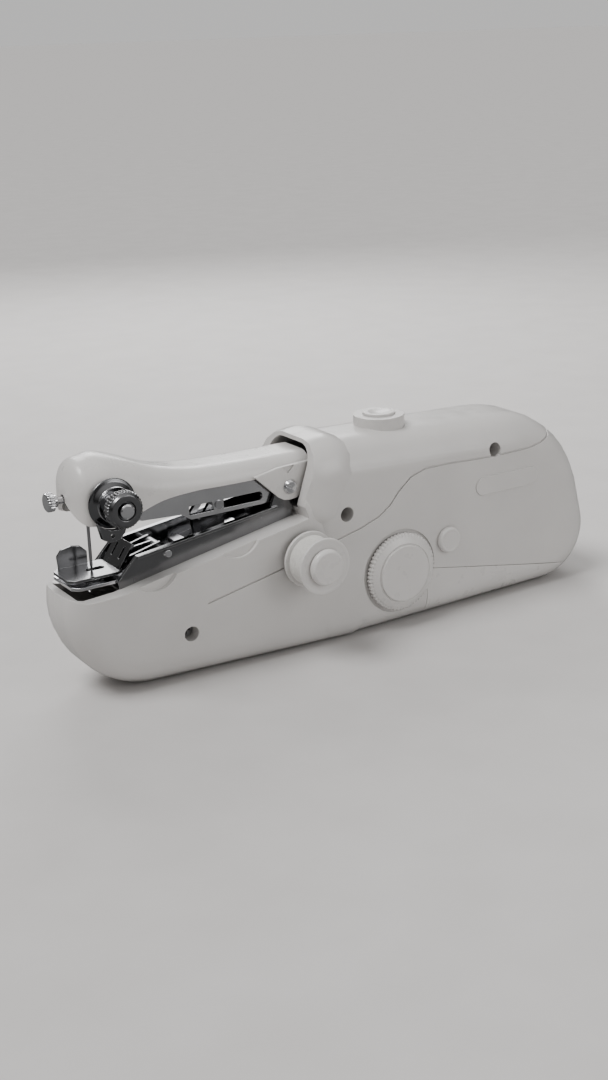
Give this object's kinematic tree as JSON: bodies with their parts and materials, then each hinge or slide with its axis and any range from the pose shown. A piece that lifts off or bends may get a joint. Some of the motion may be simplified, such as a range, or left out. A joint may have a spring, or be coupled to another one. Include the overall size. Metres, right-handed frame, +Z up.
{
  "type": "hand-held sewing machine",
  "caption": "Hand-held battery sewing machine: two-shell body, hinged needle arm over a steel channel jaw, presser foot, thread tension, side bobbin and hand wheel.",
  "frame": {"origin": "on the flat underside it rests on, at mid length and mid width", "axes": "+X runs along the body from the needle end to the rear, +Y away from the hand-wheel side, +Z up"},
  "size_m": [0.2047, 0.0494, 0.0759],
  "materials": {
    "white_shell": "satin off-white moulded plastic",
    "white_cover": "satin off-white moulded plastic, a little glossier",
    "black_plastic": "black moulded plastic",
    "chrome": "bright plating on pressed steel",
    "dark_chrome": "plated steel that mirrors a dark room",
    "steel": "turned or pressed steel",
    "spring_steel": "spring wire",
    "bronze": "sintered bronze",
    "gear_plastic": "natural acetal",
    "thread": "wound sewing thread",
    "cell_wrap": "plain printed can of a battery cell",
    "felt": "felt washer",
    "wire_insulation": "insulated wire"
  },
  "bodies": {
    "housing": {"left_housing": "white_shell", "right_housing": "white_shell", "housing_screws": "steel", "button_spring": "spring_steel", "switch_body": "black_plastic", "adapter_jack": "black_plastic", "batteries": "cell_wrap", "battery_contacts": "steel", "battery_springs": "spring_steel", "wires": "wire_insulation", "motor_body": "steel", "gear_axle": "steel", "shaft_bush": "bronze", "gear_frame": "steel", "frame_screws": "steel", "pivot_pin": "chrome", "lower_channel": "dark_chrome", "channel_screws": "steel", "needle_plate": "chrome", "presser_pin": "chrome", "presser_spring": "spring_steel", "looper_guide": "steel", "bobbin_spindle": "steel", "bobbin_washer": "felt", "bobbin_cap": "white_cover"},
    "battery_door": {"battery_cover": "white_cover"},
    "button": {"power_button": "white_cover"},
    "jack_plug": {"jack_cap": "white_cover"},
    "wheel": {"hand_wheel": "white_cover", "drive_shaft": "steel", "crank_disc": "steel", "main_gear": "gear_plastic"},
    "reduction": {"reduction_gear": "gear_plastic"},
    "rotor": {"motor_shaft": "steel", "motor_pinion": "bronze"},
    "arm": {"arm_cover": "white_cover", "arm_lever": "chrome", "cam_pin": "steel", "link_pin": "steel", "needle_clamp": "chrome", "needle": "steel", "tension_base": "dark_chrome", "tension_discs": "chrome", "tension_spring": "spring_steel", "tension_stud": "chrome", "thread_guide": "dark_chrome"},
    "link": {"connecting_link": "steel"},
    "tension_knob": {"tension_nut": "dark_chrome"},
    "thumb_screw": {"needle_screw": "chrome"},
    "looper_carriage": {"looper_slide": "chrome", "looper": "chrome"},
    "presser": {"presser_foot": "dark_chrome"},
    "bobbin": {"bobbin": "white_cover", "bobbin_thread": "thread"}
  },
  "joints": [
    {"name": "needle_arm", "type": "hinge", "parent": "housing", "child": "arm", "pos_m": [-0.0254, 0, 0.0556], "axis": [0, 1, 0], "range_deg": [-9, 0]},
    {"name": "presser_lift", "type": "hinge", "parent": "housing", "child": "presser", "pos_m": [-0.0699, 0, 0.0423], "axis": [0, 1, 0], "range_deg": [0, 14], "stiffness_Nm_per_rad": 0.12, "deforming": ["presser_spring"]},
    {"name": "hand_wheel_turn", "type": "hinge", "parent": "housing", "child": "wheel", "pos_m": [0.013, 0, 0.02], "axis": [0, 1, 0], "continuous": true},
    {"name": "power_press", "type": "slide", "parent": "housing", "child": "button", "axis": [0, 0, -1], "range_m": [0, 0.0015], "stiffness_N_per_m": 600, "deforming": ["button_spring"]},
    {"name": "bobbin_spin", "type": "hinge", "parent": "housing", "child": "bobbin", "pos_m": [-0.0244, -0.024, 0.0332], "axis": [0, 1, 0], "continuous": true},
    {"name": "tension_turn", "type": "hinge", "parent": "arm", "child": "tension_knob", "pos_m": [-0.088, -0.019, 0.0625], "axis": [0, 1, 0], "range_deg": [-180, 180]},
    {"name": "needle_screw_turn", "type": "hinge", "parent": "arm", "child": "thumb_screw", "pos_m": [-0.103, 0, 0.063], "axis": [1, 0, 0], "range_deg": [-180, 180]},
    {"name": "jack_cap_pull", "type": "slide", "parent": "housing", "child": "jack_plug", "axis": [0, -1, 0], "range_m": [0, 0.008]},
    {"name": "battery_door_pull", "type": "slide", "parent": "housing", "child": "battery_door", "axis": [0, 0, -1], "range_m": [0, 0.012]},
    {"name": "link_swing", "type": "hinge", "parent": "arm", "child": "link", "pos_m": [0.005, 0, 0.055], "axis": [0, 1, 0], "range_deg": [0, 9.01]},
    {"name": "looper_travel", "type": "slide", "parent": "housing", "child": "looper_carriage", "axis": [0.9842, 0, 0.1771], "range_m": [0, 0.00401]},
    {"name": "reduction_turn", "type": "hinge", "parent": "housing", "child": "reduction", "pos_m": [0.01657, 0, 0.03333], "axis": [0, 1, 0], "continuous": true},
    {"name": "motor_turn", "type": "hinge", "parent": "housing", "child": "rotor", "pos_m": [0.02287, 0, 0.04424], "axis": [0, 1, 0], "continuous": true}
  ],
  "couplings": [
    {"joint": "link_swing", "follows": "needle_arm", "ratio": -1},
    {"joint": "looper_travel", "follows": "needle_arm", "m_per_rad": -0.025465},
    {"joint": "reduction_turn", "follows": "hand_wheel_turn", "ratio": -3.6},
    {"joint": "motor_turn", "follows": "hand_wheel_turn", "ratio": 11.52}
  ]
}
